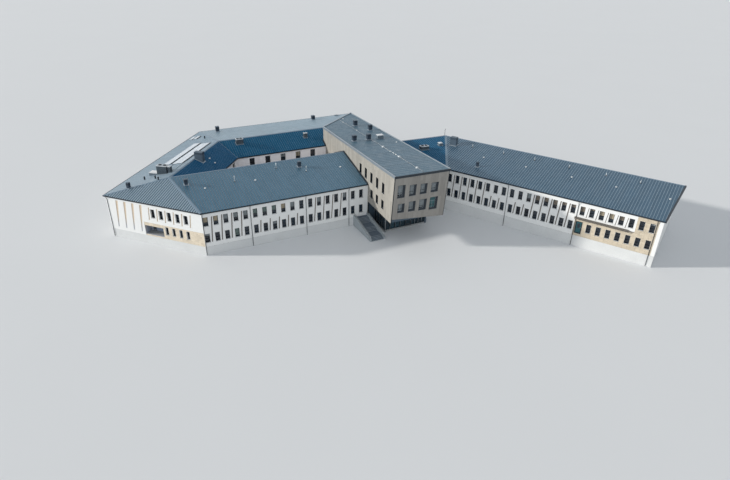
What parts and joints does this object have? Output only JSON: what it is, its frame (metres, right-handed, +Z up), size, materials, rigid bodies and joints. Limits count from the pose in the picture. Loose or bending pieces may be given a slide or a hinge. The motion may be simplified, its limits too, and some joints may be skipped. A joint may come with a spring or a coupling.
{
  "type": "school building, 1:10 scale model",
  "caption": "Two-storey school of angled wings round a court, with a raised stone-clad bar over its glazed entrance.",
  "frame": {"origin": "middle of the footprint's bounding box, on the ground", "axes": "+X to the right along the whole front, +Y towards the back, +Z up"},
  "size_m": [12.2648, 7.373, 1.5885],
  "materials": {
    "render": "rough",
    "cladding": "matte",
    "concrete": "matte",
    "roof_sheet": "satin",
    "bar_sheet": "satin",
    "window_glass": "gloss",
    "frame_metal": "satin",
    "door_metal": "satin",
    "panel_glass": "gloss",
    "plant_metal": "satin",
    "post_metal": "satin"
  },
  "bodies": {
    "building": {"back_court_roof": "roof_sheet", "back_end_wall": "render", "back_floors": "concrete", "back_roof": "roof_sheet", "back_wall": "render", "bar_back_wall": "cladding", "bar_floors": "concrete", "bar_front_beam": "frame_metal", "bar_front_wall": "cladding", "bar_glass": "window_glass", "bar_lower_walls": "concrete", "bar_roof": "bar_sheet", "bar_side_walls_back": "cladding", "bar_side_walls_front": "cladding", "chimneys": "render", "court_back_wall": "render", "court_front_wall": "render", "court_west_wall": "render", "entrance_door_frame": "frame_metal", "entrance_glass": "window_glass", "entrance_post": "post_metal", "front_court_roof": "roof_sheet", "front_floors": "concrete", "front_roof": "roof_sheet", "front_wall": "render", "link_floors": "concrete", "link_rear_roof": "roof_sheet", "link_rear_wall": "render", "link_roof": "roof_sheet", "link_wall": "render", "porch": "concrete", "right_canopy": "frame_metal", "right_floors": "concrete", "right_gable_wall": "render", "right_rear_roof": "roof_sheet", "right_rear_wall": "render", "right_roof": "roof_sheet", "right_wall": "render", "right_wall_at_door": "render", "roof_boxes": "plant_metal", "side_door_frame": "frame_metal", "solar_panels": "panel_glass", "stair": "concrete", "stair_walls": "concrete", "storefront_frames": "frame_metal", "west_court_roof": "roof_sheet", "west_end_wall": "render", "west_floors": "concrete", "west_hip_roof": "roof_sheet", "west_roof": "roof_sheet", "west_wall": "render", "window_glass": "window_glass"},
    "entrance_door": {"entrance_door": "door_metal"},
    "side_door": {"side_door": "door_metal"}
  },
  "joints": [
    {"name": "entrance_door_hinge", "type": "hinge", "parent": "building", "child": "entrance_door", "pos_m": [0.14513, -2.06481, 0.167], "axis": [0, 0, -1], "range_deg": [0, 90]},
    {"name": "side_door_hinge", "type": "hinge", "parent": "building", "child": "side_door", "pos_m": [3.63503, -2.77786, 0.439], "axis": [0, 0, -1], "range_deg": [0, 90]}
  ]
}
